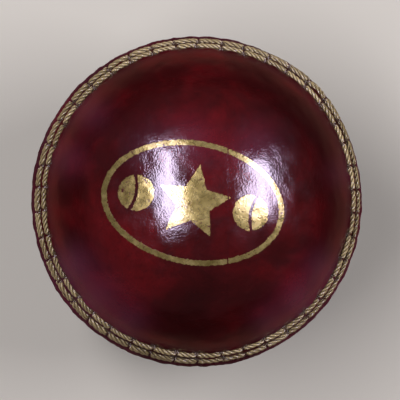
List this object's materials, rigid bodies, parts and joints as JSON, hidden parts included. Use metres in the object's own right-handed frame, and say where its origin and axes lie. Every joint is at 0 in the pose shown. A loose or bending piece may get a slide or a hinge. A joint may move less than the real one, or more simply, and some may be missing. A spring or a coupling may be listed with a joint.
{
  "type": "cricket ball",
  "caption": "Hand-stitched red leather cricket ball with a raised seam round its middle, a layered cork and yarn core and a plain foil emblem on one side",
  "frame": {"origin": "centre of the ball", "axes": "+Z is the axis of the stitched seam, towards the pole with the foil emblem; the XY plane is the joint between the two leather cups; +X is square to the plane of the upper cup's quarter joint"},
  "size_m": [0.0728, 0.0728, 0.0711],
  "materials": {
    "leather_red": "dyed crimson, fine grain, lacquered to a gloss",
    "lining_leather": "undyed vegetable-tanned, flesh side rough",
    "cork": "natural cork, granular",
    "core_rubber": "moulded cork granules in rubber, matt",
    "yarn": "damp-wound worsted yarn, hammered tight",
    "seam_thread": "waxed twisted linen cord, cream",
    "whip_thread": "waxed linen thread",
    "gold_foil": "hot-pressed gold foil, slightly worn"
  },
  "bodies": {
    "root": {"core_nucleus": "core_rubber", "cork_layer_1": "cork", "yarn_winding_1": "yarn", "cork_layer_2": "cork", "yarn_winding_2": "yarn", "cork_layer_3": "cork", "yarn_winding_3": "yarn", "cork_layer_4": "cork", "yarn_winding_4": "yarn", "cork_layer_5": "cork", "yarn_winding_5": "yarn", "lining_upper_a": "lining_leather", "lining_upper_b": "lining_leather", "lining_lower_a": "lining_leather", "lining_lower_b": "lining_leather", "quarter_upper_a": "leather_red", "quarter_upper_b": "leather_red", "quarter_lower_a": "leather_red", "quarter_lower_b": "leather_red", "quarter_stitching_upper": "whip_thread", "quarter_stitching_lower": "whip_thread", "closing_thread_a": "seam_thread", "closing_thread_b": "seam_thread", "upper_thread_a": "seam_thread", "upper_thread_b": "seam_thread", "lower_thread_a": "seam_thread", "lower_thread_b": "seam_thread", "foil_emblem": "gold_foil"}
  },
  "joints": []
}
